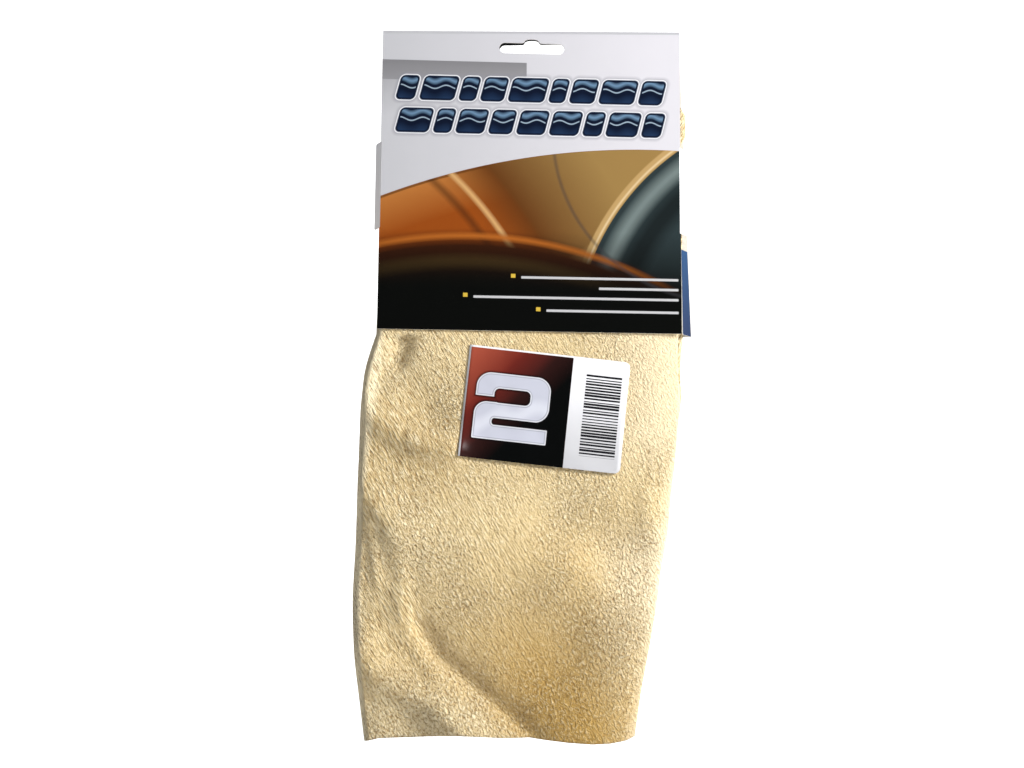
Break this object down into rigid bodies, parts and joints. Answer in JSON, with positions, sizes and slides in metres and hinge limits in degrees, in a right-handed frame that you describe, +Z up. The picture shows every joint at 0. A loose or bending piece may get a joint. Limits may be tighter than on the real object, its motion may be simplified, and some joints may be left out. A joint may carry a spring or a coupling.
{
  "type": "chamois leather",
  "caption": "Chamois leather folded in four, held in a folded paperboard hang card with side tabs and a hang slot, with a stuck-on size label.",
  "frame": {"origin": "where a display peg carries the pack: the top of the hump of the hang slot, at the middle of the fold", "axes": "+X to the right seen from the printed front, +Y from the front to the back, +Z up as the pack hangs"},
  "size_m": [0.1688, 0.0157, 0.3544],
  "materials": {
    "board_printed": "coated paperboard with a glossy print",
    "board_inside": "uncoated white paperboard",
    "board_blue": "coated paperboard printed blue",
    "chamois_hide": "oil tanned, soft napped suede surface",
    "label_film": "glossy coated paper label"
  },
  "bodies": {
    "back_panel": {"card_back_panel": "board_inside", "card_top_fold": "board_printed"},
    "front_panel": {"card_front_panel": "board_printed"},
    "left_tab": {"upper_left_tab": "board_printed"},
    "right_tab": {"upper_right_tab": "board_printed"},
    "lower_tab": {"lower_right_tab": "board_blue"},
    "leather": {"chamois": "chamois_hide", "size_label": "label_film"}
  },
  "joints": [
    {"name": "card_opening", "type": "hinge", "parent": "back_panel", "child": "front_panel", "pos_m": [0, -0.00165, 0.00305], "axis": [-1, 0, 0], "range_deg": [0, 170]},
    {"name": "left_tab_fold", "type": "hinge", "parent": "front_panel", "child": "left_tab", "pos_m": [-0.07628, -0.00642, -0.07515], "axis": [0.0218, 0.0628, 0.9978], "range_deg": [0, 66]},
    {"name": "right_tab_fold", "type": "hinge", "parent": "front_panel", "child": "right_tab", "pos_m": [0.07279, -0.00662, -0.0784], "axis": [-0.0218, -0.0628, -0.9978], "range_deg": [0, 52]},
    {"name": "lower_tab_fold", "type": "hinge", "parent": "back_panel", "child": "lower_tab", "pos_m": [0.07785, 0.0015, -0.12678], "axis": [-0.0218, 0, 0.9998], "range_deg": [0, 117]},
    {"name": "leather_slide", "type": "slide", "parent": "back_panel", "child": "leather", "axis": [0, 0, -1], "range_m": [0, 0.12]}
  ]
}
